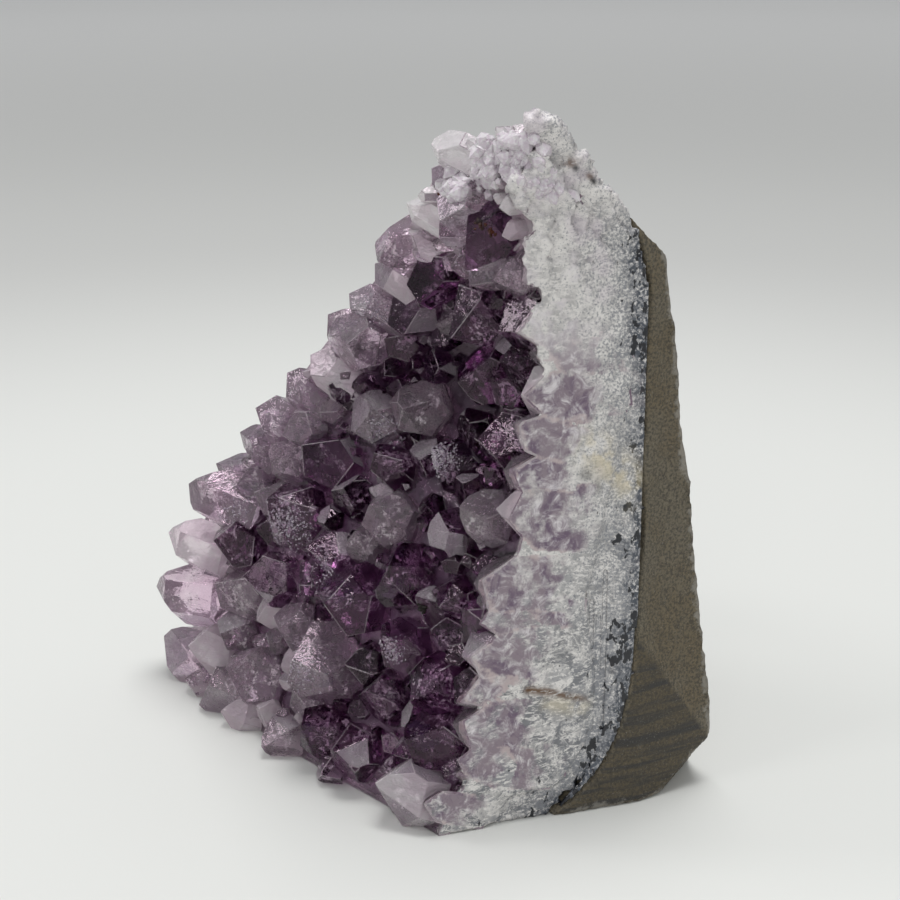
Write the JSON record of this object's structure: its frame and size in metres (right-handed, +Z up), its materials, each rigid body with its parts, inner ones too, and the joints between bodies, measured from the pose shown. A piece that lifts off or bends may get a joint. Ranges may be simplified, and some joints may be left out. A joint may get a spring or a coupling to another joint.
{
  "type": "amethyst geode",
  "caption": "Freestanding wedge of amethyst geode wall on a sawn flat base: violet crystal points in a hollow, white quartz crust, one sawn side and brown basalt behind.",
  "frame": {"origin": "middle of the footprint of the whole piece, on the plane of the sawn base", "axes": "+Z up, from the sawn base to the peak; -Y is the side that the crystals face; +X is the sawn side that shows the layers; +Y is the natural basalt back"},
  "size_m": [0.1036, 0.0628, 0.1207],
  "materials": {
    "amethyst": "clear to milky violet crystal faces, darker in the hollow and paler at the rim",
    "quartz_crust": "white to grey granular quartz, sawn, with dark blue-grey speckles towards the basalt",
    "basalt": "fine-grained brown-grey basalt, sawn at one side and rough at the back"
  },
  "bodies": {
    "root": {"amethyst_crust": "amethyst", "basalt_matrix": "basalt"}
  },
  "joints": []
}
